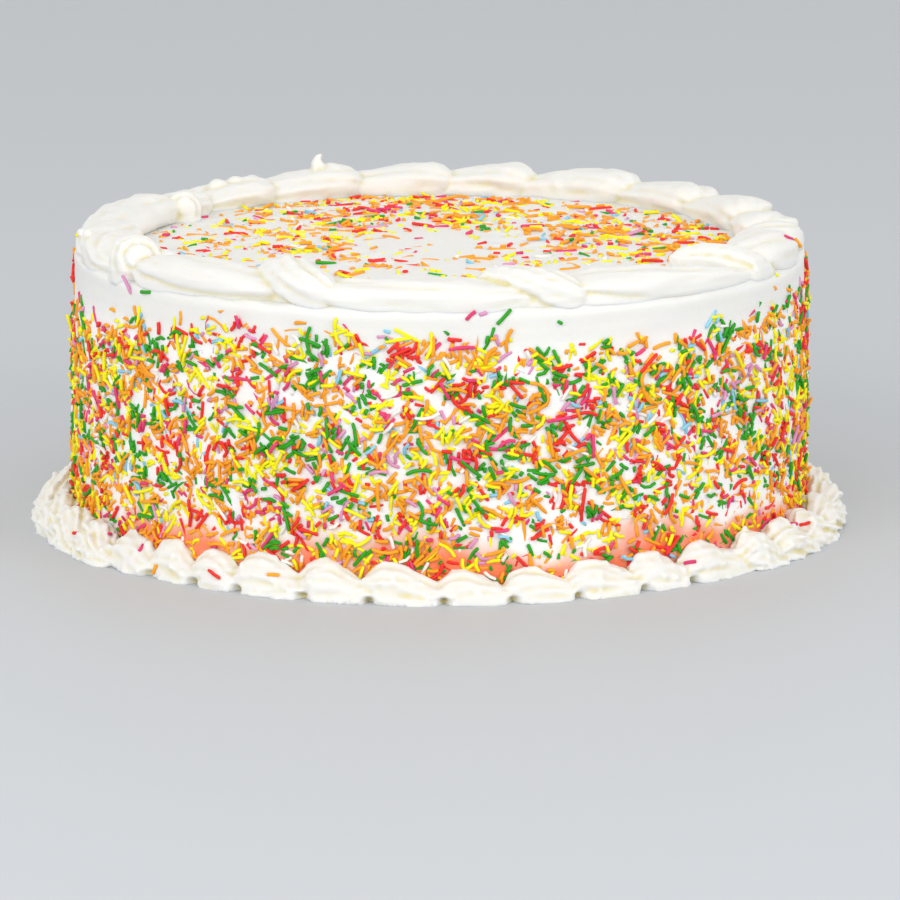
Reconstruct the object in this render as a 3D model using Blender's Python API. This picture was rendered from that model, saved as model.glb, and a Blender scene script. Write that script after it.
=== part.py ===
# A round layer cake, frosted in white buttercream: 226 mm across its top and 85 mm tall,
# with a piped border of swirls round the top edge and a row of piped shells round the foot.
# The cake is uncut, so it is one solid. Each piped swirl and shell is a piece of its own.
# Metres, +Z up. The origin is at the centre of the cake, on the surface that it stands on.
# Angles run from the front (-Y) towards +X, which is the way the border was piped.

import math
import random

import bmesh
import bpy

# The frosted cake
CAKE_RADIUS = 0.113
FOOT_RADIUS = 0.114
CAKE_HEIGHT = 0.0848
CAKE_SIDES = 72
EDGE_ROUNDING = 0.003
EDGE_STEPS = 2

# Touching pieces of icing keep this much room
GAP = 0.0003

# The border of swirls on the top edge. A twist is a short, high S of icing whose ridges cross it.
# A sweep is the longer, lower stretch between two twists, and its ridges run along it.
# The rosette is a small swirl that was piped in a circle. Each has its length round the edge,
# in degrees, and its height, in millimetres.
BORDER_INNER = 0.0912
BORDER_OUTER = 0.1124
BORDER_START = math.radians(-66)
BORDER_LEAN = 0.55
SWIRL_STEPS = 10
SWIRL_POINTS = 8
SWIRL_GROOVE = 0.2
SWIRL_UNEVENNESS = 0.07
SWIRLS = (
    ("rosette", 11.5, 11.8), ("sweep", 23.5, 8.8), ("twist", 13, 12), ("sweep", 26.5, 7.8),
    ("twist", 12, 11), ("sweep", 27.5, 8.6), ("twist", 15.5, 11.5), ("sweep", 13.5, 8.8),
    ("twist", 14, 8.6), ("sweep", 14, 8.4), ("twist", 19, 9), ("sweep", 19, 8.8),
    ("twist", 20.5, 10), ("sweep", 16, 9.8), ("twist", 17.5, 9.4), ("sweep", 18.5, 9),
    ("twist", 15.5, 9.6), ("sweep", 12, 8.4), ("twist", 25, 10.6), ("sweep", 13, 8.8),
    ("twist", 13, 9.6),
)

# The rosette's rings
ROSETTE_RINGS = 6
ROSETTE_SIDES = 14
ROSETTE_TURNS = 2.5
ROSETTE_RIDGE = 0.0009

# The row of shells round the foot. Each starts as a fat head and thins to a tail.
SHELL_WIDTH = 0.0126
SHELL_HEIGHT = 0.0116
SHELL_LEAN = 0.25
SHELL_STEPS = 8
SHELL_POINTS = 6
SHELL_GROOVE = 0.2
SHELL_UNEVENNESS = 0.08
SHELL_START = math.radians(-45)
FRONT_SHELLS = (8, 7.5, 10, 9.5, 10.5, 9.5, 9.5, 10, 8.5, 11.5, 7.5, 9)
OTHER_SHELLS = 26

ICING_WHITE = (0.87, 0.86, 0.83, 1)
ICING_TOP = (0.85, 0.84, 0.80, 1)
ICING_ROUGHNESS = 0.5


def icing(name, colour):
    material = bpy.data.materials.new(name)
    material.use_nodes = True
    shader = material.node_tree.nodes["Principled BSDF"]
    shader.inputs["Base Color"].default_value = colour
    shader.inputs["Roughness"].default_value = ICING_ROUGHNESS
    shader.inputs["Metallic"].default_value = 0
    return material


def add_piece(name, mesh, material, height=0.0):
    """One named piece of the cake, standing at a height above the table."""
    piece = bpy.data.objects.new(name, mesh)
    piece.location.z = height
    mesh.materials.append(material)
    mesh.shade_smooth()
    bpy.context.scene.collection.objects.link(piece)
    return piece


def mesh_from(bm, name):
    bmesh.ops.recalc_face_normals(bm, faces=bm.faces)
    mesh = bpy.data.meshes.new(name)
    bm.to_mesh(mesh)
    bm.free()
    return mesh


def polar(angle, radius, height):
    return radius * math.sin(angle), -radius * math.cos(angle), height


def skin(rings, name):
    """A closed mesh through rings of points that have the same number of points each."""
    bm = bmesh.new()
    loops = [[bm.verts.new(point) for point in ring] for ring in rings]
    for ring, following in zip(loops, loops[1:]):
        for here, after in zip(range(len(ring)), [*range(1, len(ring)), 0]):
            bm.faces.new((ring[here], ring[after], following[after], following[here]))
    bm.faces.new(loops[0])
    bm.faces.new(loops[-1])
    return mesh_from(bm, name)


def swell(share, start, peak_at, end):
    """A smooth rise from start to 1, reached at peak_at, and a fall to end."""
    if share < peak_at:
        low, part = start, share / peak_at
    else:
        low, part = end, (1 - share) / (1 - peak_at)
    return low + (1 - low) * math.sin(part * math.pi / 2) ** 1.2


def piped_outline(points, groove, fan=1.0):
    """(outward, up) of a ridged half round from its outer foot to its inner foot, each from 0 to 1.

    Odd points are ridges and even ones grooves. A fan over 1 crowds them to the outer foot,
    and one under 1 to the inner foot.
    """
    outline = []
    for point in range(points + 1):
        turn = math.pi * (point / points) ** fan
        grooved = point % 2 == 0 and 0 < point < points
        reach = 1 - groove if grooved else 1
        outline.append((0.5 + 0.5 * reach * math.cos(turn), reach * math.sin(turn) ** 0.85))
    return outline


def piped_piece(name, span, edges, lean, steps, shape):
    """A ridged piece of icing from one angle to another.

    edges are the inner and the outer radius that it keeps within, and lean says how far its
    joints turn away from the radius, as a slope. shape(share) gives the inner and the outer
    edge, as shares of that width, the height and the outline at a share of the length.
    """
    start, end = span
    inner, outer = edges
    middle = (inner + outer) / 2
    trim = GAP / inner
    rings = []
    for step in range(steps + 1):
        share = step / steps
        angle = start + trim + (end - start - 2 * trim) * share
        low, high, height, outline = shape(share)
        ring = []
        for outward, up in outline:
            radius = inner + (outer - inner) * (low + (high - low) * outward)
            turned = angle + lean * (radius - middle) / middle
            ring.append(polar(turned, radius, height * up))
        rings.append(ring)
    return skin(rings, name)


def twist(height, uneven):
    """A high S of icing. Its ridges cross it from the inner side to the outer foot."""
    peak_at = 0.45 + uneven()

    def shape(share):
        rise = swell(share, 0.62, peak_at, 0.66)
        pinch = 0.16 * (1 - swell(share, 0, 0.5, 0))
        outline = piped_outline(SWIRL_POINTS, SWIRL_GROOVE, 0.66 + 0.9 * share)
        return pinch, 1 - pinch, height * rise, outline

    return shape


def sweep(height, uneven):
    """A long, low stretch of icing. Its ridges run along it, and it rises a little to its end."""
    peak_at = 0.62 + uneven()

    def shape(share):
        rise = swell(share, 0.78, peak_at, 0.8)
        pinch = 0.1 * (1 - swell(share, 0, 0.5, 0))
        outline = piped_outline(SWIRL_POINTS, SWIRL_GROOVE, 1.12)
        return 0.06 + pinch, 1 - pinch / 2, height * rise, outline

    return shape


def rosette(name, span, height):
    """A round swirl: a low dome with a ridge that winds in to its top."""
    middle = (BORDER_INNER + BORDER_OUTER) / 2
    room = (span[1] - span[0]) / 2 * middle * math.cos(math.atan(BORDER_LEAN)) - GAP
    radius = min((BORDER_OUTER - BORDER_INNER) / 2, room)
    rings = []
    for ring in range(ROSETTE_RINGS):
        out = 1 - ring / ROSETTE_RINGS
        points = []
        for side in range(ROSETTE_SIDES):
            turn = math.tau * side / ROSETTE_SIDES
            winding = math.cos(math.tau * ROSETTE_TURNS * out - turn)
            ridge = ROSETTE_RIDGE * winding * (0 < ring)
            up = height * (1 - out**2.6) + ridge
            along = radius * out * math.cos(turn)
            outward = radius * out * math.sin(turn)
            angle = (span[0] + span[1]) / 2 + along / middle
            points.append(polar(angle, middle + outward, up))
        rings.append(points)
    return skin(rings, name)


def shell(uneven):
    """A shell of icing: fat at its head, ridged along its length, and thin at its tail."""
    height = SHELL_HEIGHT * (1 + uneven())
    width = 1 - 0.5 * SHELL_UNEVENNESS + 0.5 * uneven()
    peak_at = 0.32 + uneven()

    def shape(share):
        rise = swell(share, 0.55, peak_at, 0.42)
        reach = width * swell(share, 0.74, peak_at, 0.68)
        return 0, reach, height * rise, piped_outline(SHELL_POINTS, SHELL_GROOVE)

    return shape


def spans_of(widths, start):
    """The angles that each piece in a row takes, one after another."""
    spans = []
    for width in widths:
        spans.append((start, start + math.radians(width)))
        start = spans[-1][1]
    return spans


def make_cake(material):
    bm = bmesh.new()
    bmesh.ops.create_cone(
        bm, cap_ends=True, segments=CAKE_SIDES, depth=CAKE_HEIGHT,
        radius1=FOOT_RADIUS, radius2=CAKE_RADIUS,
    )
    cake = add_piece("cake_body", mesh_from(bm, "cake_body"), material, CAKE_HEIGHT / 2)
    edge = cake.modifiers.new("rounded edges", "BEVEL")
    edge.width = EDGE_ROUNDING
    edge.segments = EDGE_STEPS
    edge.limit_method = "ANGLE"
    edge.angle_limit = math.radians(60)
    cake.data.set_sharp_from_angle(angle=math.radians(60))


def make_top_border(material):
    chance = random.Random(7)
    kinds = {"twist": twist, "sweep": sweep}

    def uneven():
        return chance.uniform(-SWIRL_UNEVENNESS, SWIRL_UNEVENNESS)

    spans = spans_of([width for kind, width, height in SWIRLS], BORDER_START)
    for number, ((kind, width, height), span) in enumerate(zip(SWIRLS, spans), 1):
        name = f"top_{kind}_{number:02d}"
        if kind == "rosette":
            mesh = rosette(name, span, height / 1000)
        else:
            shape = kinds[kind](height / 1000, uneven)
            edges = (BORDER_INNER, BORDER_OUTER)
            mesh = piped_piece(name, span, edges, BORDER_LEAN, SWIRL_STEPS, shape)
        add_piece(name, mesh, material, CAKE_HEIGHT + GAP)


def make_base_border(material):
    chance = random.Random(11)

    def uneven():
        return chance.uniform(-SHELL_UNEVENNESS, SHELL_UNEVENNESS)

    front = sum(FRONT_SHELLS)
    parts = [1 + chance.uniform(-0.12, 0.12) for number in range(OTHER_SHELLS)]
    others = [(360 - front) * part / sum(parts) for part in parts]
    inner = FOOT_RADIUS + GAP
    for number, span in enumerate(spans_of([*FRONT_SHELLS, *others], SHELL_START), 1):
        name = f"base_shell_{number:02d}"
        edges = (inner, inner + SHELL_WIDTH)
        mesh = piped_piece(name, span, edges, SHELL_LEAN, SHELL_STEPS, shell(uneven))
        add_piece(name, mesh, material)


def main():
    for thing in list(bpy.data.objects):
        bpy.data.objects.remove(thing)
    side = icing("smooth_buttercream", ICING_WHITE)
    piped = icing("piped_buttercream", ICING_TOP)
    make_cake(side)
    make_top_border(piped)
    make_base_border(piped)


main()
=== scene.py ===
import math
import random

import bpy
import numpy as np
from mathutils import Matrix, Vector


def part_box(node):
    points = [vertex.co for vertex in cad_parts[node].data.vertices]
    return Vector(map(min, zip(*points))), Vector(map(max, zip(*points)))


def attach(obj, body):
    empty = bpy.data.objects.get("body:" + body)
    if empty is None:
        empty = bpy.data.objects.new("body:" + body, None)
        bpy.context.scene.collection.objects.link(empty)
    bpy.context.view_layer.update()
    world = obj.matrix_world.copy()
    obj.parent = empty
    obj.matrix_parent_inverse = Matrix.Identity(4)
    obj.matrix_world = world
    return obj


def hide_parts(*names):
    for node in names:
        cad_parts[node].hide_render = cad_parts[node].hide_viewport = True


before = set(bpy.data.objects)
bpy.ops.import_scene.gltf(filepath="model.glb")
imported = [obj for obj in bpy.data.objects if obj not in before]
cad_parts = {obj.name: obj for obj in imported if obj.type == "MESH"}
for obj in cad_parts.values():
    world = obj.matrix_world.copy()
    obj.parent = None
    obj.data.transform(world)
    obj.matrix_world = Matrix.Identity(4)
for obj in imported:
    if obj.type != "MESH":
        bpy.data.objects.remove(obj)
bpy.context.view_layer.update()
mm = 0.001


def hexToLinear(code):
    # sRGB hex to the linear RGBA that a shader takes
    channels = [int(code[i:i + 2], 16) / 255 for i in (1, 3, 5)]
    return [c / 12.92 if c <= 0.04045 else ((c + 0.055) / 1.055) ** 2.4 for c in channels] + [1]


def addNode(tree, kind, settings=None, links=None):
    # one node with its settings, which are sockets or properties, and the sockets that feed it
    node = tree.nodes.new(kind)
    for name, value in (settings or {}).items():
        if isinstance(name, int) or name in node.inputs:
            node.inputs[name].default_value = value
        else:
            setattr(node, name, value)
    for name, source in (links or {}).items():
        tree.links.new(source, node.inputs[name])
    return node


def newMaterial(name):
    material = bpy.data.materials.new(name)
    material.use_nodes = True
    tree = material.node_tree
    return material, tree, tree.nodes["Principled BSDF"]


def softNoise(points, size, seed, waves=12):
    # smooth lumps about size across, from about -1 to 1
    chance = np.random.default_rng(seed)
    ways = chance.normal(size=(waves, points.shape[-1]))
    ways *= chance.uniform(0.7, 1.4, (waves, 1)) / np.linalg.norm(ways, axis=1, keepdims=True)
    phases = chance.uniform(0, math.tau, waves)
    turns = points @ ways.T * (math.pi / size) + phases
    return np.sin(turns).sum(-1) / math.sqrt(waves)


def smooth(value, low, high):
    # 0 under low, 1 over high, and a soft step between
    part = np.clip((value - low) / (high - low), 0, 1)
    return part * part * (3 - 2 * part)


def polar(angle, radius, height):
    # angles run from the front towards +X
    return np.stack([radius * np.sin(angle), -radius * np.cos(angle), height], -1)


def facingOut(points, faces):
    # turns every face round if the closed mesh is inside out
    corners = points[np.array([face[:3] for face in faces])]
    volume = np.einsum("ij,ij->", corners[:, 0], np.cross(corners[:, 1], corners[:, 2]))
    return faces if volume > 0 else [face[::-1] for face in faces]


def addPiece(name, points, faces, material, replaced=()):
    mesh = bpy.data.meshes.new(name)
    mesh.from_pydata(points, [], facingOut(points, faces))
    mesh.shade_smooth()
    mesh.materials.append(material)
    piece = bpy.data.objects.new(name, mesh)
    bpy.context.scene.collection.objects.link(piece)
    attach(piece, "root")
    if replaced:
        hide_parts(*replaced)
    return piece


def spanOf(node, lean):
    # the angles that a piped piece takes, with the lean of its joints taken out, and its mid radius
    points = np.array([v.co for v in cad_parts[node].data.vertices])
    radius = np.hypot(points[:, 0], points[:, 1])
    middle = (radius.min() + radius.max()) / 2
    angle = np.arctan2(points[:, 0], -points[:, 1])
    nearby = angle[0] + (angle - angle[0] + math.pi) % math.tau - math.pi
    nearby -= lean * (radius - middle) / middle
    return nearby.min(), nearby.max(), middle


# metres, degrees, and the lens in millimetres
cameraView = {"distance": 1.386, "height": 0.3233, "down": 12.37, "right": 0.13, "lens": 181.4}


def addCamera():
    data = bpy.data.cameras.new("camera")
    data.sensor_width = 36
    data.lens = cameraView["lens"]
    camera = bpy.data.objects.new("camera", data)
    camera.location = (0, -cameraView["distance"], cameraView["height"])
    camera.rotation_euler = (math.radians(90 - cameraView["down"]), 0, -math.radians(cameraView["right"]))
    bpy.context.scene.collection.objects.link(camera)
    bpy.context.scene.camera = camera


studio = {
    "floor": "#C3C7CC", "floorSize": 12, "floorRoughness": 0.6,
    "sky": "#F4F4F3", "skyStrength": 0.93, "aimHeight": 60 * mm,
    "lamps": (
        # place, size and watts: a big window in front on the left, and a fill from the right
        ((-0.75, -1.25, 0.75), 0.9, 9.6),
        ((1.1, -0.9, 0.6), 0.8, 6.2),
    ),
}


def addStudio():
    bpy.context.scene.view_settings.view_transform = "Standard"
    world = bpy.data.worlds.new("studio")
    bpy.context.scene.world = world
    world.use_nodes = True
    sky = world.node_tree.nodes["Background"]
    sky.inputs["Color"].default_value = hexToLinear(studio["sky"])
    sky.inputs["Strength"].default_value = studio["skyStrength"]
    for number, (place, size, watts) in enumerate(studio["lamps"]):
        data = bpy.data.lights.new(f"softbox{number}", "AREA")
        data.size = size
        data.energy = watts
        lamp = bpy.data.objects.new(data.name, data)
        lamp.location = place
        aim = Vector((0, 0, studio["aimHeight"])) - lamp.location
        lamp.rotation_euler = aim.to_track_quat("-Z", "Y").to_euler()
        bpy.context.scene.collection.objects.link(lamp)
    # matte paint on a smooth board: a pale grey with no pattern, and hardly any shine
    material, tree, shader = newMaterial("matte painted floor")
    shader.inputs["Base Color"].default_value = hexToLinear(studio["floor"])
    shader.inputs["Roughness"].default_value = studio["floorRoughness"]
    half = studio["floorSize"] / 2
    corners = [(-half, -half, 0), (half, -half, 0), (half, half, 0), (-half, half, 0)]
    mesh = bpy.data.meshes.new("floor")
    mesh.from_pydata(corners, [], [(0, 1, 2, 3)])
    mesh.materials.append(material)
    floor = bpy.data.objects.new("floor", mesh)
    bpy.context.scene.collection.objects.link(floor)
    print("studio:", len(studio["lamps"]), "lamps")


icing = {
    # the hollow colour and its depth are painted shade: a darker creamy yellow put into the creases of the
    # piping, where shade falls
    "white": "#E7E6E2", "hollowPaintedShade": "#E3D9A8", "paintedShadeDepth": 0.05 * mm,
    # painted light: the sprinkled colour is a whiter white for the icing among the sprinkles, against the
    # shade they cast. Tinted and stained are the real colour bled from the sprinkles
    "paintedLightAmongSprinkles": "#FBFAF7", "tinted": "#F6CCBC", "stained": "#FF8154",
    "roughness": 0.42, "ior": 1.46, "subsurface": 0.5, "scatter": (1.0, 0.8, 0.55), "scatterDepth": 2.2 * mm,
    # 5 mm unevenness, and the 0.6 mm grain of beaten sugar, drawn a little coarse to show
    "waves": 5 * mm, "waveHeight": 0.5 * mm, "waveStrength": 0.35,
    "grain": 0.6 * mm, "grainHeight": 0.08 * mm, "grainStrength": 0.25,
}


def icingShader(tree, shader, colour):
    # fat and sugar: light goes in a millimetre or two, and the surface has a soft satin shine
    shader.inputs["Roughness"].default_value = icing["roughness"]
    shader.inputs["IOR"].default_value = icing["ior"]
    shader.inputs["Subsurface Weight"].default_value = icing["subsurface"]
    shader.inputs["Subsurface Radius"].default_value = icing["scatter"]
    shader.inputs["Subsurface Scale"].default_value = icing["scatterDepth"]
    place = {"Vector": addNode(tree, "ShaderNodeTexCoord").outputs["Object"]}
    waves = addNode(tree, "ShaderNodeTexNoise", {"Scale": 1 / icing["waves"], "Detail": 3}, place)
    grain = addNode(tree, "ShaderNodeTexNoise", {"Scale": 1 / icing["grain"], "Detail": 2}, place)
    low = addNode(
        tree, "ShaderNodeBump", {"Strength": icing["waveStrength"], "Distance": icing["waveHeight"]},
        {"Height": waves.outputs["Fac"]},
    )
    fine = addNode(
        tree, "ShaderNodeBump", {"Strength": icing["grainStrength"], "Distance": icing["grainHeight"]},
        {"Height": grain.outputs["Fac"], "Normal": low.outputs["Normal"]},
    )
    tree.links.new(fine.outputs["Normal"], shader.inputs["Normal"])
    tree.links.new(colour, shader.inputs["Base Color"])


def pipedButtercream():
    # whipped buttercream, piped: white ridges, with painted shade, a darker creamy yellow, in the hollows
    # between them
    material, tree, shader = newMaterial("piped buttercream")
    hollowPaintedShade = addNode(tree, "ShaderNodeAttribute", {"attribute_name": "hollowPaintedShade"})
    ends = {6: hexToLinear(icing["white"]), 7: hexToLinear(icing["hollowPaintedShade"])}
    colour = addNode(tree, "ShaderNodeMix", {"data_type": "RGBA", **ends}, {0: hollowPaintedShade.outputs["Fac"]})
    icingShader(tree, shader, colour.outputs[2])
    return material


def spreadButtercream():
    # buttercream spread with a knife, with the red and orange that wet sprinkles bleed at the foot, and
    # painted light: a whiter white on the lower side, among the sprinkles, that takes away the shade they
    # cast
    material, tree, shader = newMaterial("spread buttercream")
    colour = None
    for name in ("paintedLightAmongSprinkles", "tinted", "stained"):
        share = addNode(tree, "ShaderNodeAttribute", {"attribute_name": name}).outputs["Fac"]
        ends = {6: hexToLinear(icing["white"]), 7: hexToLinear(icing[name])}
        mixed = addNode(tree, "ShaderNodeMix", {"data_type": "RGBA", **ends}, {0: share})
        if colour:
            tree.links.new(colour, mixed.inputs[6])
        colour = mixed.outputs[2]
    icingShader(tree, shader, colour)
    return material


def setAttribute(piece, name, values):
    data = piece.data.attributes.new(name, "FLOAT", "POINT")
    data.data.foreach_set("value", np.ascontiguousarray(values, np.float32).ravel())


def tubeFaces(rings, sides):
    # quads between rings of points, and a cap on each end
    ring, side = np.meshgrid(np.arange(rings - 1), np.arange(sides), indexing="ij")
    after = (side + 1) % sides
    here = ring * sides
    quads = np.stack([here + side, here + after, here + sides + after, here + sides + side], -1)
    last = (rings - 1) * sides
    return [*quads.reshape(-1, 4).tolist(), list(range(sides))[::-1], list(range(last, last + sides))]


cake = {
    # points round the cake, up its side, round its edge and across its top, and the edge's rounding
    "around": 500, "sideRows": 62, "edgeRows": 6, "topRows": 32, "edge": 2.4 * mm,
    "waves": 0.22 * mm, "waveSize": 34 * mm, "ripples": 0.09 * mm, "rippleSize": 7 * mm,
    "strokes": 0.32 * mm, "strokeWidth": 5.5 * mm, "strokeCentre": (52 * mm, -70 * mm),
    # the stain climbs unevenly, and is strongest just right of the front, this many radians round.
    # Pink has bled from the sprinkles above it too, here and there
    "stainTop": 25 * mm, "stainAt": 0.25, "bled": 0.045,
}
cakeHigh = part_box("cake_body")[1]
cakeHeight = cakeHigh[2]
footRadius = cakeHigh[0]
topRadius = footRadius - 1 * mm


def sideRadius(height):
    return footRadius + (topRadius - footRadius) * height / cakeHeight


def makeCake(material):
    edge = cake["edge"]
    up = np.linspace(0, cakeHeight - edge, cake["sideRows"])
    bend = np.linspace(0, math.pi / 2, cake["edgeRows"] + 1)[1:]
    inwards = np.linspace(1, 0, cake["topRows"] + 1)[1:-1]
    flat = topRadius - edge
    radius = np.concatenate([sideRadius(up), flat + edge * np.cos(bend), flat * inwards])
    height = np.concatenate([up, cakeHeight - edge + edge * np.sin(bend), np.full(len(inwards), cakeHeight)])
    angle = np.linspace(0, math.tau, cake["around"], endpoint=False)
    points = polar(angle[None, :], radius[:, None], height[:, None] * np.ones((1, len(angle))))
    onTop = smooth(height, cakeHeight - edge, cakeHeight)[:, None]
    lumps = cake["waves"] * softNoise(points, cake["waveSize"], 3)
    lumps += cake["ripples"] * softNoise(points, cake["rippleSize"], 4)
    # faint rings that the knife left, about 4 mm apart
    bands = cake["ripples"] * np.sin(height * 1700 + 2 * np.sin(height * 420))[:, None]
    away = np.hypot(points[..., 0] - cake["strokeCentre"][0], points[..., 1] - cake["strokeCentre"][1])
    wobble = softNoise(points, 26 * mm, 5)
    strokes = cake["strokes"] * np.sin(away / cake["strokeWidth"] * math.pi + 2 * wobble)
    side = (lumps + bands) * (1 - onTop) * smooth(height, 0, 2 * mm)[:, None]
    outward = polar(angle, np.ones_like(angle), 0 * angle)
    points = points + side[..., None] * outward[None]
    points[..., 2] += (lumps + strokes * (0.6 + 0.4 * wobble)) * onTop
    faces = tubeFaces(*points.shape[:2])
    points = points.reshape(-1, 3)
    piece = addPiece("spread_icing", points, faces, material, ["cake_body"])
    height = points[:, 2]
    blots = 0.5 + 0.35 * softNoise(points, 17 * mm, 8) + 0.2 * softNoise(points, 5 * mm, 9)
    facing = np.arctan2(points[:, 0], -points[:, 1])
    strong = 0.3 + 0.7 * np.clip(0.5 + 0.75 * np.cos(facing - cake["stainAt"]), 0, 1)
    reach = cake["stainTop"] * (0.55 + 0.45 * np.clip(blots, 0, 1)) * (0.7 + 0.3 * strong)
    stain = (1 - smooth(height, 0.45 * reach, reach)) * np.clip(0.45 + 0.8 * blots, 0, 1) * strong
    bled = np.clip(0.5 + 0.5 * softNoise(points, 11 * mm, 12), 0, 1)
    bled *= 1 - smooth(height, 60 * mm, 78 * mm)
    stain = np.maximum(stain, cake["bled"] * bled)
    # the lower side, among the sprinkles, gets a whiter white as painted light against the shade they cast.
    # A weak stain is pink, and a strong one goes on to orange
    setAttribute(piece, "paintedLightAmongSprinkles", 1 - smooth(height, 66 * mm, 78 * mm))
    setAttribute(piece, "tinted", np.clip(stain / 0.4, 0, 1))
    setAttribute(piece, "stained", np.clip((stain - 0.4) / 0.6, 0, 1))
    print("cake:", len(points), "points")


def through(rows, share):
    # a smooth curve through rows of values that are evenly spaced
    rows = np.asarray(rows, float)
    rows = np.vstack([2 * rows[0] - rows[1], rows, 2 * rows[-1] - rows[-2]])
    place = share * (len(rows) - 3)
    first = np.minimum(place.astype(int), len(rows) - 4)
    part = (place - first)[:, None]
    before, here, after, later = (rows[first + step] for step in range(4))
    bend = 2 * before - 5 * here + 4 * after - later
    turn = 3 * here - before - 3 * after + later
    return here + 0.5 * part * (after - before + part * (bend + part * turn))


def rimHeight(radius):
    # how high the cake's top and its rounded edge are at a radius
    past = np.clip(radius - (topRadius - cake["edge"]), 0, cake["edge"])
    return cakeHeight - cake["edge"] + np.sqrt(cake["edge"] ** 2 - past ** 2)


def tableHeight(radius):
    return 0 * radius


def insideBrim(radius, up, brim, tuck=0):
    # at the rim icing keeps to the line of the side, and its foot turns in under that
    brim = brim - tuck * smooth(-up, -1 * mm, 3 * mm)
    over = np.maximum(radius - brim + 2 * mm, 0)
    return np.where(over > 0, brim - 2 * mm * np.exp(-over / (2 * mm)), radius)


def rope(rows, start, middle, bed, look):
    # icing from a star nozzle. rows are millimetres along the border, outwards and up, and the
    # half height and half width there. bed(radius) is the height that the icing lies on
    share = (1 - np.cos(np.linspace(0.01, 0.99, look["steps"]) * math.pi)) / 2
    curve = through(rows, share) * mm
    centre, tall, wide = curve[:, :3], curve[:, 3, None], curve[:, 4, None]
    forward = np.gradient(centre, axis=0)
    forward /= np.linalg.norm(forward, axis=1, keepdims=True)
    inward = np.cross(forward, (0, 0, 1))
    inward /= np.linalg.norm(inward, axis=1, keepdims=True)
    above = np.cross(inward, forward)
    turn = np.linspace(0, math.tau, look["around"], endpoint=False)[None, :]
    part = share[:, None]
    ends = (1 - np.abs(2 * part - 1) ** look["blunt"]) ** (1 / look["blunt"])
    wound = look["winding"] * part + look["curl"] * (1 - part) ** 3
    phase = look["lobes"] * turn / math.tau + wound + look["phase"]
    # soft hollows with a sharper groove in each, and no two as deep as each other
    depth = 0.6 + 0.4 * np.sin(2.4 * (np.round(phase) % look["lobes"]) + look["seed"])
    crease = np.abs(np.sin(math.pi * phase))
    valley = (0.65 * (1 - crease ** 2) + 0.35 * (1 - crease ** 0.7)) * depth
    # under its middle the icing stands straight on its bed, and reaches a little into it
    power = np.where(np.sin(turn) < 0, look["footing"], look["crown"])
    square = (np.abs(np.cos(turn)) ** power + np.abs(np.sin(turn)) ** power) ** (-1 / power)
    reach = ends * (1 - look["groove"] * valley) * square
    points = centre[:, None] + inward[:, None] * (reach * wide * np.cos(turn))[..., None]
    foot = centre[:, 2, None] + look["sunk"] if look["standing"] else tall
    stand = np.where(np.sin(turn) < 0, foot, tall)
    points = points + above[:, None] * (reach * stand * np.sin(turn))[..., None]
    away = inward[:, None] * np.cos(turn)[..., None] + above[:, None] * np.sin(turn)[..., None]
    lumps = softNoise(points, 9 * mm, look["seed"]) + 0.5 * softNoise(points, 3 * mm, look["seed"] + 1)
    torn = np.maximum(softNoise(points, look["tornWidth"], look["seed"] + 2, 24) - 0.2, 0) * (1 - valley)
    points += away * ((look["lumps"] * lumps + look["torn"] * torn) * ends)[..., None]
    points[..., 1] -= look["slump"] * np.maximum(points[..., 2], 0)
    outer = np.sign(points[..., 1] - centre[:, None, 1])
    points[..., 1] += look["skirt"] * outer * ends * np.exp(-np.maximum(points[..., 2], 0) / (1.6 * mm))
    radius = middle + points[..., 1]
    radius = insideBrim(radius, points[..., 2], look["brim"], look["tuck"])
    base = bed(radius)
    height = np.maximum(base + points[..., 2], base - look["sunk"])
    points = polar(start + points[..., 0] / middle, radius, height)
    return points.reshape(-1, 3), tubeFaces(*points.shape[:2])


def neighbourMeans(values, edges):
    # for each point, the mean of the values at the points that an edge joins to it
    ends = np.concatenate([edges, edges[:, ::-1]])
    count = np.bincount(ends[:, 0], minlength=len(values))
    sums = [np.bincount(ends[:, 0], column[ends[:, 1]], len(values)) for column in values.T]
    return np.stack(sums, -1) / count[:, None]


def pointNormals(mesh):
    normals = np.empty(len(mesh.vertices) * 3, np.float32)
    mesh.vertices.foreach_get("normal", normals)
    return normals.reshape(-1, 3)


def alongBorder(points):
    # places for noise that runs in streaks, the way the nozzle went
    radius = np.hypot(points[:, 0], points[:, 1])[:, None]
    return np.concatenate([points[:, :2] / radius * 14 * mm, radius, points[:, 2:]], 1)


def thinOut(piece, kept):
    # leaves out faces where the skin is nearly flat
    thinner = piece.modifiers.new("thinner", "DECIMATE")
    thinner.ratio = kept
    graph = bpy.context.evaluated_depsgraph_get()
    piece.data = bpy.data.meshes.new_from_object(
        piece.evaluated_get(graph), preserve_all_data_layers=True, depsgraph=graph,
    )
    piece.modifiers.clear()
    piece.data.shade_smooth()


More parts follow.
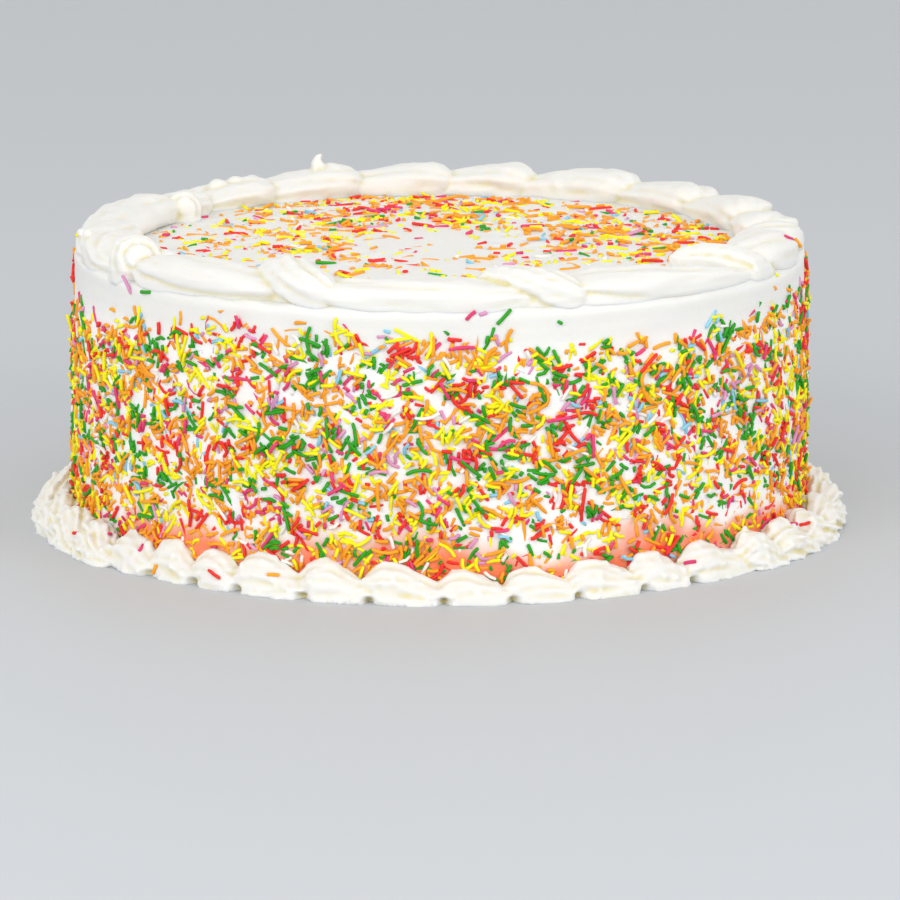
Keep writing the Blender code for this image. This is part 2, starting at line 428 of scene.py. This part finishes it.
def runTogether(name, ropes, nodes, look, material, joints=()):
    # soft icing closes up where two ropes touch: they get one skin, which is then smoothed
    points, faces, first = [], [], 0
    for ropePoints, ropeFaces in ropes:
        points.append(ropePoints)
        faces.extend([first + corner for corner in face] for face in facingOut(ropePoints, ropeFaces))
        first += len(ropePoints)
    mesh = bpy.data.meshes.new("ropes")
    mesh.from_pydata(np.concatenate(points), [], faces)
    holder = bpy.data.objects.new("ropes", mesh)
    bpy.context.scene.collection.objects.link(holder)
    skin = holder.modifiers.new("skin", "REMESH")
    skin.mode = "VOXEL"
    skin.voxel_size = look["voxel"]
    graph = bpy.context.evaluated_depsgraph_get()
    mesh = bpy.data.meshes.new_from_object(holder.evaluated_get(graph))
    bpy.data.objects.remove(holder)
    points = np.empty(len(mesh.vertices) * 3, np.float32)
    mesh.vertices.foreach_get("co", points)
    points = points.reshape(-1, 3).astype(float)
    edges = np.empty(len(mesh.edges) * 2, np.int32)
    mesh.edges.foreach_get("vertices", edges)
    edges = edges.reshape(-1, 2)
    # each step in has a step out, so that the skin doesn't shrink
    for step in range(look["evened"]):
        for amount in (0.55, -0.58):
            points += amount * (neighbourMeans(points, edges) - points)
    openJoints(points, joints)
    away = pointNormals(mesh)
    streaks = softNoise(alongBorder(points), look["streakWidth"], 70, 30)
    points += away * (look["streaks"] * streaks)[:, None]
    points[:, 2] = np.maximum(points[:, 2], 0)
    faces = [list(face.vertices) for face in mesh.polygons]
    piece = addPiece(name, points, faces, material, nodes)
    # painted shade in the hollows: how far each point lies under its neighbours, evened out, sets how much
    # of the darker creamy yellow it gets
    hollowPaintedShade = ((neighbourMeans(points, edges) - points) * pointNormals(piece.data)).sum(-1)[:, None]
    for step in range(5):
        hollowPaintedShade = 0.5 * hollowPaintedShade + 0.5 * neighbourMeans(hollowPaintedShade, edges)
    setAttribute(piece, "hollowPaintedShade", np.clip(hollowPaintedShade / icing["paintedShadeDepth"], 0, 1))
    thinOut(piece, look["kept"])
    print("piping:", name, len(piece.data.vertices), "points")
    return piece


# lobes, groove and curl shape the ridges. blunt is how square the ends are, and crown and footing
# how square the upper and the lower half. sunk is how far the icing reaches into what it lies on,
# slump how far its top leans in, and skirt how far its foot spreads. brim is the radius that it
# keeps within at the rim, and tuck how far its foot turns in under that. lumps, torn and streaks
# make it rough. The skin has cells as large as voxel, and keeps a share of its faces
border = {
    "middle": 101.8 * mm, "lean": 0.55, "steps": 70, "around": 56,
    "lobes": 7, "groove": 0.19, "curl": 1.6, "blunt": 2.8, "crown": 2, "footing": 5,
    "standing": True, "sunk": 3.5 * mm, "slump": 0, "skirt": 0,
    "brim": topRadius + 0.3 * mm, "tuck": 0.9 * mm,
    "lumps": 0.25 * mm, "torn": 0.12 * mm, "tornWidth": 1.8 * mm,
    "streaks": 0.1 * mm, "streakWidth": 1.3 * mm,
    "voxel": 0.56 * mm, "evened": 2, "kept": 0.42,
}
# shares of the length, millimetres outwards, a share of the height, and half height and half width,
# as a share of the height and in millimetres. A twist crosses the border from its inner side to its
# outer side. A sweep lies along it
twistPath = (
    (-0.20, -6.8, 0.40, 0.34, 3.6), (0.04, -5.2, 0.50, 0.44, 5.8), (0.34, -1.8, 0.52, 0.50, 7.6),
    (0.64, 2.2, 0.48, 0.50, 8.2), (0.96, 5.6, 0.36, 0.46, 7.0), (1.22, 7.0, 0.24, 0.32, 5.0),
)
sweepPath = (
    (-0.30, 0.6, 0.26, 0.38, 9.4), (0.06, 0.9, 0.38, 0.52, 10.4), (0.45, 1.2, 0.42, 0.57, 10.8),
    (0.86, 1.2, 0.42, 0.56, 10.8), (1.28, 1.4, 0.30, 0.44, 9.6),
)
# round the back, where the border shows its inner side, each piece ends high and round there
humpPath = (
    (-0.14, -1.4, 0.48, 0.46, 8.0), (0.05, -1.0, 0.55, 0.54, 9.9), (0.30, 0.2, 0.50, 0.54, 10.8),
    (0.62, 0.8, 0.41, 0.49, 10.8), (0.95, 1.2, 0.30, 0.42, 10.2), (1.24, 1.6, 0.20, 0.34, 8.8),
)
backBorder = (80, 285)
# the ones there whose ridges cross them
twisted = (9, 20, 21)
# pieces that came out lower or higher than the rest, as shares of their height
pressed = {8: 1.12, 17: 0.86, 18: 0.8, 19: 0.82, 20: 0.8, 21: 0.84}
# the swirl that starts as a small knob on the inner side and fans out over the rim: degrees, radius,
# height above the top, half height and half width in millimetres
hooked = 7
hookPath = (
    (49.5, 89.5, 5.4, 2.6, 2.8), (51.4, 92.2, 5.6, 3.8, 4.4), (54.4, 97, 5.2, 4.8, 6.2),
    (57.2, 102, 4.2, 4.9, 7.6), (59.4, 107, 2.4, 4.7, 8.6), (60.6, 111, 0.4, 4.2, 8.8),
    (61, 113.5, -1.4, 3.4, 8),
)
# the sweep before it narrows to a tail that runs on along the rim, and leaves a pocket inside it
beforeHook = (
    (-0.30, 0.6, 0.26, 0.38, 9.4), (0.06, 0.9, 0.38, 0.52, 10.4), (0.40, 1.2, 0.42, 0.57, 10.8),
    (0.68, 3.0, 0.38, 0.52, 8.6), (0.96, 6.6, 0.32, 0.42, 5.2), (1.32, 8, 0.2, 0.34, 4.4),
)
# the rosette stands clear of its neighbours: one starts late, and the other ends low and early
afterRosette = 2
beforeRosette = 21


def swirlRope(number, rows, start, **changes):
    look = {**border, "seed": 40 + 3 * number, "phase": random.Random(number).random(), **changes}
    return rope(rows, start, border["middle"], rimHeight, look)


def makeSwirl(kind, node, number):
    low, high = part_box(node)
    height = (high[2] - low[2]) / mm
    start, end = spanOf(node, border["lean"])[:2]
    length = (end - start) * border["middle"] / mm
    back = backBorder[0] < math.degrees(start) % 360 < backBorder[1]
    chance = random.Random(60 + number)
    path = humpPath if back else {"twist": twistPath, "sweep": sweepPath}[kind]
    if number + 1 == hooked:
        path = beforeHook
    height *= pressed.get(number, 1)
    rows = []
    for along, out, up, tall, wide in path:
        out += chance.uniform(-0.4, 0.4)
        tall = tall * height * chance.uniform(0.96, 1.04)
        rows.append((along * length, out, up * height, tall, wide))
    look = {"winding": chance.uniform(-0.5, 0)}
    if number in twisted:
        look.update(winding=-2.8, lobes=9, groove=0.2, curl=0)
    elif back:
        look.update(groove=chance.uniform(0.14, 0.2), curl=0.8, footing=2.6)
    elif kind == "twist":
        look.update(winding=chance.uniform(-3.2, -2.4), lobes=9, groove=0.2, curl=0)
    if number == afterRosette:
        rows[0] = (0.02 * length, *rows[0][1:])
    elif number == beforeRosette:
        rows[-1] = (1.14 * length, 0.8, 0.24 * height, 0.34 * height, 8.4)
    return swirlRope(number, rows, start, **look)


def makeHook(number):
    middle = border["middle"] / mm
    rows = [(math.radians(place) * middle, radius - middle, *rest) for place, radius, *rest in hookPath]
    return swirlRope(number, rows, 0, lobes=9, groove=0.21, winding=-0.6, curl=0)


# rosettes: balls of icing with a soft ridge that winds in to the middle. Where they stand in
# degrees, millimetres outwards and up, their radius, how closely the ridge winds, how deep its
# groove is in millimetres, how far the middle is turned over, and which way, from outwards
# towards the front. The small plain knobs beside them have the first four alone
rosettes = (
    (-59.4, 3.4, 3.4, 8.5, 1.9, 1.5, 68, 66), (-118.2, -9, 3.6, 6, 1.5, 1.3, 76, 118),
    (-57.6, -4, -0.6, 7.6), (-86, 8.8, 4.6, 1.7), (-82, 8.6, 5.8, 1.5), (-78, 7.8, 6.6, 1.8),
    (-135.2, 0.8, 4.9, 3.9), (-139.6, 1, 5.6, 3.4), (-143.2, 0.8, 5.8, 3),
)


def ballOfIcing(place, out, up, radius, turns=0, groove=0, slant=0, facing=0):
    slant, facing = math.radians(slant), math.radians(facing)
    away = np.linspace(0.02, math.pi - 0.02, 50)[:, None]
    around = np.linspace(0, math.tau, 90, endpoint=False)[None, :]
    winding = turns * away - around / math.tau
    sharp = 1 - np.abs(np.sin(math.pi * winding)) ** 0.8
    fade = smooth(away, 0.3, 0.6) * (1 - smooth(away, 1.7, 2.2))
    reach = radius - groove * sharp * fade
    # the ridge winds round an axis that is turned over from upright
    over = math.sin(slant)
    tipped = np.array((over * math.sin(facing), over * math.cos(facing), math.cos(slant)))
    sideways = np.cross(tipped, (0.3, 0.2, -1))
    sideways /= np.linalg.norm(sideways)
    level = np.cos(around)[..., None] * sideways + np.sin(around)[..., None] * np.cross(tipped, sideways)
    level = np.sin(away)[..., None] * level
    points = (reach[..., None] * (level + np.cos(away)[..., None] * tipped) + (0, out, up)) * mm
    middle = border["middle"]
    lumps = softNoise(points, 7 * mm, 33) * 0.03 * radius * mm
    across = insideBrim(middle + points[..., 1] + lumps, points[..., 2], border["brim"] + 0.6 * mm)
    height = rimHeight(across) + np.maximum(points[..., 2], -1.2 * mm)
    points = polar(math.radians(place) + points[..., 0] / middle, across, height)
    return points.reshape(-1, 3), tubeFaces(*points.shape[:2])


def makeRosette(place, out, up, radius, *winding):
    # a plain ball low down under the wound one, so that it stands on the cake
    return [ballOfIcing(place, out, up, radius, *winding), ballOfIcing(place, out, 0, 0.96 * radius)]


# where the nozzle was pulled away: a fin that rises slowly, then a small peak that curls over
peakAngle = 203.4
peakPath = (
    (-17, 0.6, 1.6, 4.6, 8), (-11, 0.4, 4.2, 5.2, 8.6), (-5, 0, 5.8, 4.8, 7),
    (-1.6, 0, 7.6, 3.8, 4), (-0.3, 0, 9.6, 2.4, 2.2), (-0.1, 0, 11.9, 1.4, 1.4),
    (-0.9, 0, 13.2, 0.9, 0.9), (-2.2, 0, 13.2, 0.6, 0.6),
)
peakLook = {"winding": 0.4, "curl": 0, "groove": 0.08, "around": 36, "standing": False}


def makeTopBorder(material):
    nodes = sorted(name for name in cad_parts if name.startswith("top_"))
    ropes = []
    for node in nodes:
        kind, number = node.split("_")[1:]
        if kind != "rosette" and int(number) != hooked:
            ropes.append(makeSwirl(kind, node, int(number)))
    for row in rosettes:
        ropes += makeRosette(*row)
    ropes.append(makeHook(hooked))
    ropes.append(swirlRope(len(nodes) + 1, peakPath, math.radians(peakAngle), **peakLook))
    return runTogether("piped_top_border", ropes, nodes, border, material)


# as the border above, with no brim to keep within
shells = {
    "lean": 0.25, "steps": 60, "around": 60,
    "lobes": 9, "groove": 0.14, "curl": 0.3, "blunt": 3.6, "crown": 1.6, "footing": 5,
    "standing": True, "sunk": 1.5 * mm, "slump": 0.3, "skirt": 0.9 * mm, "brim": 1, "tuck": 0,
    "lumps": 0.22 * mm, "torn": 0.55 * mm, "streaks": 0.24 * mm, "streakWidth": 1.4 * mm,
    "voxel": 0.48 * mm, "evened": 2, "kept": 0.4,
    "height": 10.7, "ruffledFrom": 42, "ruffledAll": 60, "narrower": 0.28, "closer": 3,
    # how wide, high and deep the gaps are, and the distances from the middle over which they open
    "gap": (1.5 * mm, 2 * mm, 4.2 * mm), "gapFromTo": (114.5 * mm, 122 * mm), "gapsWithin": 45,
}
# as the paths above: a fat round head, and a tail that thins
shellPath = (
    (-0.12, 0.2, 0.20, 0.30, 5.4), (0.05, 0.4, 0.38, 0.46, 5.9), (0.25, 0.5, 0.49, 0.56, 6.1),
    (0.55, 0.5, 0.38, 0.48, 6.1), (0.88, 0.5, 0.24, 0.34, 6.0), (1.2, 0.4, 0.16, 0.26, 5.7),
)
# shells that came out lower than the rest, as shares of their height
lowShells = {6: 0.82, 7: 0.87, 10: 0.94}


def makeShell(node, number):
    start, end, middle = spanOf(node, shells["lean"])
    length = (end - start) * middle / mm
    chance = random.Random(100 + number)
    height = shells["height"] * chance.uniform(0.93, 1.03) * lowShells.get(number, 1)
    # round the sides and the back the nozzle was moved faster, which tore and ruffled the ridges
    fromFront = abs((math.degrees(start + end) / 2 + 180) % 360 - 180)
    ruffled = float(smooth(fromFront, shells["ruffledFrom"], shells["ruffledAll"]))
    # and in front the shells are narrower, close against the side
    closer, narrower = shells["closer"] * (1 - ruffled), 1 - shells["narrower"] * (1 - ruffled)
    rows = []
    for along, out, up, tall, wide in shellPath:
        out += chance.uniform(-0.3, 0.3) - closer
        tall *= chance.uniform(0.95, 1.05)
        rows.append((along * length, out, up * height, tall * height, wide * narrower))
    look = {
        **shells,
        "seed": 200 + 3 * number,
        "phase": chance.uniform(0, 1),
        "lobes": 13 if ruffled > 0.5 else shells["lobes"],
        "winding": chance.uniform(-0.4, 0.1) - 1.9 * ruffled,
        "groove": shells["groove"] * (1 + 0.9 * ruffled),
        "torn": shells["torn"] * (1 + ruffled),
        "tornWidth": (1.7 + 0.5 * ruffled) * mm,
    }
    return rope(rows, start, middle, tableHeight, look)


def openJoints(points, joints):
    # a small gap is left at the foot where two shells meet
    wide, tall, deep = shells["gap"]
    radius = np.hypot(points[:, 0], points[:, 1])
    angle = np.arctan2(points[:, 0], -points[:, 1])
    outside = smooth(radius, *shells["gapFromTo"])
    cut = np.zeros(len(points))
    for joint in joints:
        along = (angle - joint) * radius / wide
        cut = np.maximum(cut, np.exp(-along ** 2 - (points[:, 2] / tall) ** 4) * outside)
    points[:, :2] *= (1 - deep * cut / radius)[:, None]


def makeFootBorder(material):
    nodes = sorted(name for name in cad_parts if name.startswith("base_shell"))
    ropes = [makeShell(node, number) for number, node in enumerate(nodes, 1)]
    joints = [spanOf(node, shells["lean"])[0] for node in nodes]
    joints = [joint for joint in joints if abs(math.degrees(joint)) < shells["gapsWithin"]]
    return runTogether("piped_foot_border", ropes, nodes, shells, material, joints)


jimmies = {
    "thick": 1.14 * mm, "sides": 5, "onSide": 11500, "onTop": 1400,
    # piles are kept count of in cells. A rod is pressed in up to this far. One that would lie on
    # another is mostly left out, and always where the pile is this high
    "cell": 0.6 * mm, "pressed": 0.9 * mm, "apart": 0.66, "highest": 1.1 * mm,
    "clump": 6.5 * mm, "clumping": 1.25, "shadeSize": 9 * mm, "darkest": 0.88, "lightest": 1.05,
    "roughness": 0.46, "ior": 1.4, "subsurface": 0.12, "scatter": (1.0, 0.7, 0.5), "scatterDepth": 0.6 * mm,
    # shortest, longest and commonest length in millimetres, how many in a hundred, and the
    # straight stretches that make up the bend
    "lengths": ((1.2, 3.0, 2.1, 40, 1), (2.6, 5.0, 3.7, 40, 2), (4.6, 9.2, 6.0, 20, 3)),
    # colour, how many in a hundred on the side and on the top, and how many times as many there
    # are low down on the side
    "colours": {
        "orange": ("#FFA61C", 34, 48, 1.3), "green": ("#22A006", 18, 5, 0.6),
        "red": ("#F02C20", 12, 11, 1.5), "yellow": ("#FFF200", 24, 27, 0.9),
        "pink": ("#E63C74", 6, 4, 0.8), "blue": ("#8ECDE8", 3, 2, 0.6),
        "mauve": ("#DF98C2", 3, 2, 0.5), "white": ("#F6F1EA", 3, 3, 0.8),
    },
    "lowFrom": 30 * mm, "lowAll": 13 * mm,
    # degrees where fewer stuck low down, and how many fewer, and how many fewer at the two sides
    "bareAt": 22, "bareShare": 0.6, "fewerLeft": 0.3, "fewerRight": 0.52,
}

# how high the sprinkles reach up the side, in degrees from the front and millimetres
topLimit = (
    (-180, 74), (-130, 72), (-90, 68), (-60, 73), (-30, 79), (0, 79),
    (28, 73), (55, 77), (85, 79), (130, 75), (180, 74),
)
# handfuls that stuck higher up: degrees, height and spread in millimetres, number and colour
handfuls = (
    (-88, 76, 2.6, 12, "red"), (-92, 72, 3, 10, "orange"), (85, 79, 2, 7, "red"), (89, 75, 3, 10, "orange"),
)
# ones that fell on the piping: degrees, millimetres from the middle, and colour
strays = (
    (-63, 122, "red"), (-57, 118, "pink"), (-48, 119, "pink"), (-44, 121, "orange"), (-33, 121, "red"),
    (-29, 122, "red"), (-24, 119, "orange"), (38, 119, "pink"), (62, 119, "pink"), (66, 121, "red"),
    (74, 110, "pink"), (76, 112, "orange"), (120, 121, "green"), (150, 119, "orange"), (171, 122, "red"),
    (-168, 120, "yellow"), (-140, 119, "pink"), (-115, 121, "orange"), (-84, 110, "yellow"),
)


def sugarJimmies(name, code):
    # sugar and fat rods, cut from a string: bright colour right through, a little lighter or darker
    # from place to place, with a waxy shine
    material, tree, shader = newMaterial(f"{name} sugar jimmies")
    place = addNode(tree, "ShaderNodeTexCoord").outputs["Object"]
    scale = 1 / jimmies["shadeSize"]
    shade = addNode(tree, "ShaderNodeTexNoise", {"Scale": scale, "Detail": 1}, {"Vector": place})
    ramp = addNode(tree, "ShaderNodeValToRGB", links={"Fac": shade.outputs["Fac"]})
    colour = hexToLinear(code)
    darker, lighter = ramp.color_ramp.elements
    darker.position = 0.3
    lighter.position = 0.7
    darker.color = [c * jimmies["darkest"] for c in colour[:3]] + [1]
    lighter.color = [min(1, c * jimmies["lightest"] + 0.004) for c in colour[:3]] + [1]
    tree.links.new(ramp.outputs["Color"], shader.inputs["Base Color"])
    shader.inputs["Roughness"].default_value = jimmies["roughness"]
    shader.inputs["IOR"].default_value = jimmies["ior"]
    shader.inputs["Subsurface Weight"].default_value = jimmies["subsurface"]
    shader.inputs["Subsurface Radius"].default_value = jimmies["scatter"]
    shader.inputs["Subsurface Scale"].default_value = jimmies["scatterDepth"]
    return material


def layDown(chance, count, pickPlace, crowd):
    # sprinkles on a flat sheet, each as its middle, way, length, bend, the lift of its two ends and
    # its stretches. crowd keeps how high each small cell is filled: later ones lie on earlier ones
    cell, lengths = jimmies["cell"], jimmies["lengths"]
    weights = [row[3] for row in lengths]
    laid = []
    while len(laid) < count:
        u, v = pickPlace(chance)
        way = chance.uniform(0, math.pi)
        shortest, longest, commonest, weight, stretches = chance.choices(lengths, weights)[0]
        length = chance.triangular(shortest, longest, commonest) * mm
        bend = chance.choice((0, 0.15, 0.4, 1, 1.7)) * chance.choice((-1, 1)) * min(1, length / (5 * mm))
        ticks = [(part / 8 - 0.5) * length for part in range(9)]
        cells = [
            (round((u + tick * math.cos(way)) / cell), round((v + tick * math.sin(way)) / cell))
            for tick in ticks
        ]
        under = [crowd.get(c, 0) for c in cells]
        first, last = max(under[:5]), max(under[4:])
        pile = max(first, last)
        if pile > jimmies["highest"] or pile > 0 and chance.random() < jimmies["apart"]:
            continue
        first -= chance.uniform(0, jimmies["pressed"])
        last -= chance.uniform(0, jimmies["pressed"])
        # a few stick out at one end
        if chance.random() < 0.04:
            last += chance.uniform(0.4, 1.4) * mm
        for part, c in enumerate(cells):
            crowd[c] = max(0.1 * mm, first + (last - first) * part / 8 + 0.85 * jimmies["thick"])
        laid.append((u, v, way, length, bend, first, last, stretches))
    return laid


def rodPoints(laid, stretches):
    # rings of points along each bent rod, on the flat sheet: along, up and away from it
    thick, sides = jimmies["thick"] / 2, jimmies["sides"]
    u, v, way, length, bend, first, last = np.array(laid)[:, :7].T[:, :, None]
    middles = np.linspace(0, 1, stretches + 1)[1:-1]
    parts = np.concatenate([[0, 0.06], middles, [0.94, 1]])[None, :]
    girth = np.concatenate([[0.62], np.ones(parts.shape[1] - 2), [0.62]])[None, :]
    bend = np.where(np.abs(bend) < 0.01, 0.01, bend)
    turned = way + bend * (parts - 0.5)
    radius = length / bend
    centre = np.stack([
        u + radius * (np.sin(turned) - np.sin(way)), v - radius * (np.cos(turned) - np.cos(way)),
        first + (last - first) * parts + thick * 0.7,
    ], -1)
    sideways = np.stack([-np.sin(turned), np.cos(turned), 0 * turned], -1)
    upright = np.zeros_like(sideways)
    upright[..., 2] = 1
    corner = np.linspace(0, math.tau, sides, endpoint=False)[:, None]
    ring = sideways[:, :, None] * np.cos(corner) + upright[:, :, None] * np.sin(corner)
    return centre[:, :, None] + ring * (thick * girth)[..., None, None]


def rodFaces(rods, rings, first):
    sides = jimmies["sides"]
    rod = tubeFaces(rings, sides)
    starts = range(first, first + rods * rings * sides, rings * sides)
    return [[start + corner for corner in face] for start in starts for face in rod]


def sidePlace(chance):
    # a place on the unrolled side: distance round the cake and height
    angles, heights = zip(*topLimit)
    while True:
        angle = chance.uniform(-180, 180)
        height = chance.uniform(4, 84)
        limit = np.interp(angle, angles, heights) + 1.6 * math.sin(angle * 0.31)
        limit += 1.2 * math.sin(angle * 0.83 + 1)
        fade = min(1, max(0, (limit - height) / 7)) ** 0.8
        drift = math.sin(angle * 0.19 + 1.9 * math.sin(height * 0.11))
        patch = 0.5 + 0.5 * drift * math.sin(height * 0.21 + angle * 0.07)
        # fewer stuck low down just right of the front, where the stained icing shows
        past = angle - jimmies["bareAt"]
        bare = jimmies["bareShare"] * float(smooth(-height, -25, -15))
        bare *= max(0, math.cos(math.radians(past * 1.8)))
        crowded = (0.66 + 0.3 * patch) * (1 - bare if abs(past) < 50 else 1)
        # small gaps where the icing shows
        around = math.radians(angle) * topRadius / mm
        wave = math.sin(around * 0.55 + 2 * math.sin(height * 0.31))
        wave += math.sin(height * 0.62 + 1.7 * math.sin(around * 0.27))
        crowded *= 0.14 + 0.86 * float(smooth(wave + math.sin((around + height) * 0.4), -1.5, 0.2))
        # at the two sides they would hide more of the icing
        fewer = jimmies["fewerLeft"] if angle < 0 else jimmies["fewerRight"]
        crowded *= 1 - fewer * math.sin(math.radians(angle)) ** 2
        if chance.random() < fade * crowded or chance.random() < 0.0035:
            return math.radians(angle) * topRadius, height * mm


def handfulPlace(degrees, height, spread):
    # places round one spot on the unrolled side
    def place(chance):
        around = math.radians(degrees) * topRadius + chance.gauss(0, spread) * mm
        return around, (height + chance.gauss(0, spread)) * mm

    return place


def topPlace(chance):
    # a place on the top: few in the middle and at the front, many round the back and the sides
    while True:
        radius = 91 * math.sqrt(chance.random())
        angle = chance.uniform(0, math.tau)
        x, y = radius * math.cos(angle), radius * math.sin(angle)
        bare = smooth(math.hypot(x - 2, y - 6), 14, 50)
        front = 0.16 + 0.84 * smooth(y, -46, 10)
        patch = 0.55 + 0.45 * math.sin(x * 0.16 + 1.5 * math.sin(y * 0.09)) * math.sin(y * 0.2 + 1)
        left = 1 - 0.6 * smooth(-x, 52, 74)
        if chance.random() < 0.05 + 0.95 * bare * front * patch * left:
            return x * mm, y * mm


def pickColours(laid, seed, column):
    # like colours lie together, as they fell from the hand
    rows = list(jimmies["colours"].values())
    spots = np.array([(rod[0], rod[1], 0) for rod in laid])
    clumps = [softNoise(spots, jimmies["clump"], seed + number) for number in range(len(rows))]
    odds = np.array([row[column] for row in rows]) * np.exp(jimmies["clumping"] * np.stack(clumps, -1))
    if column == 1:
        low = 1 - smooth(spots[:, 1], jimmies["lowAll"], jimmies["lowFrom"])
        odds *= np.array([row[3] for row in rows]) ** low[:, None]
    odds = np.cumsum(odds / odds.sum(1, keepdims=True), 1)
    return (odds < np.random.default_rng(seed).random(len(laid))[:, None]).sum(1)


def ontoSide(rods):
    around, height, away = rods[..., 0], rods[..., 1], rods[..., 2]
    return polar(around / topRadius, sideRadius(height) + away, height)


def ontoTop(rods):
    return rods + (0, 0, cakeHeight)


def ontoPiping(chance, pieces):
    # one rod for each stray, laid on whichever piping is under it
    laid = []
    bpy.context.view_layer.update()
    for degrees, radius, colour in strays:
        above = Vector(polar(math.radians(degrees), radius * mm, 0.2))
        hits = [piece.ray_cast(above, (0, 0, -1)) for piece in pieces]
        hits = [hit for hit in hits if hit[0]]
        if not hits:
            continue
        place, normal = max(hits, key=lambda hit: hit[1].z)[1:3]
        along = normal.orthogonal().normalized()
        axes = np.array([along, normal.cross(along), normal])
        rod = (0, 0, chance.uniform(0, math.pi), chance.uniform(2.5, 6) * mm, 0.3, -0.2 * mm, -0.2 * mm)
        laid.append((colour, rodPoints([rod], 2) @ axes + np.array(place)))
    return laid


def makeSprinkles(piping):
    chance = random.Random(21)
    crowd = {}
    names = list(jimmies["colours"])
    side = layDown(chance, jimmies["onSide"], sidePlace, crowd)
    sideColours = list(pickColours(side, 310, 1))
    for degrees, height, spread, number, colour in handfuls:
        side += layDown(chance, number, handfulPlace(degrees, height, spread), crowd)
        sideColours += [names.index(colour)] * number
    top = layDown(chance, jimmies["onTop"], topPlace, {})
    topColours = pickColours(top, 350, 2)
    fallen = ontoPiping(chance, piping)
    for index, (name, (code, *shares)) in enumerate(jimmies["colours"].items()):
        rods = [points for colour, points in fallen if colour == name]
        for laid, colours, onto in ((side, sideColours, ontoSide), (top, topColours, ontoTop)):
            for stretches in (1, 2, 3):
                chosen = [rod for rod, own in zip(laid, colours) if own == index and rod[7] == stretches]
                if chosen:
                    rods.append(onto(rodPoints(chosen, stretches)))
        points, faces, first = [], [], 0
        for group in rods:
            faces += rodFaces(group.shape[0], group.shape[1], first)
            points.append(group.reshape(-1, 3))
            first += len(points[-1])
        addPiece(f"sprinkles_{name}", np.concatenate(points), faces, sugarJimmies(name, code))
        print("sprinkles:", name, sum(len(group) for group in rods))


addCamera()
addStudio()
piped = pipedButtercream()
makeCake(spreadButtercream())
makeSprinkles([makeTopBorder(piped), makeFootBorder(piped)])
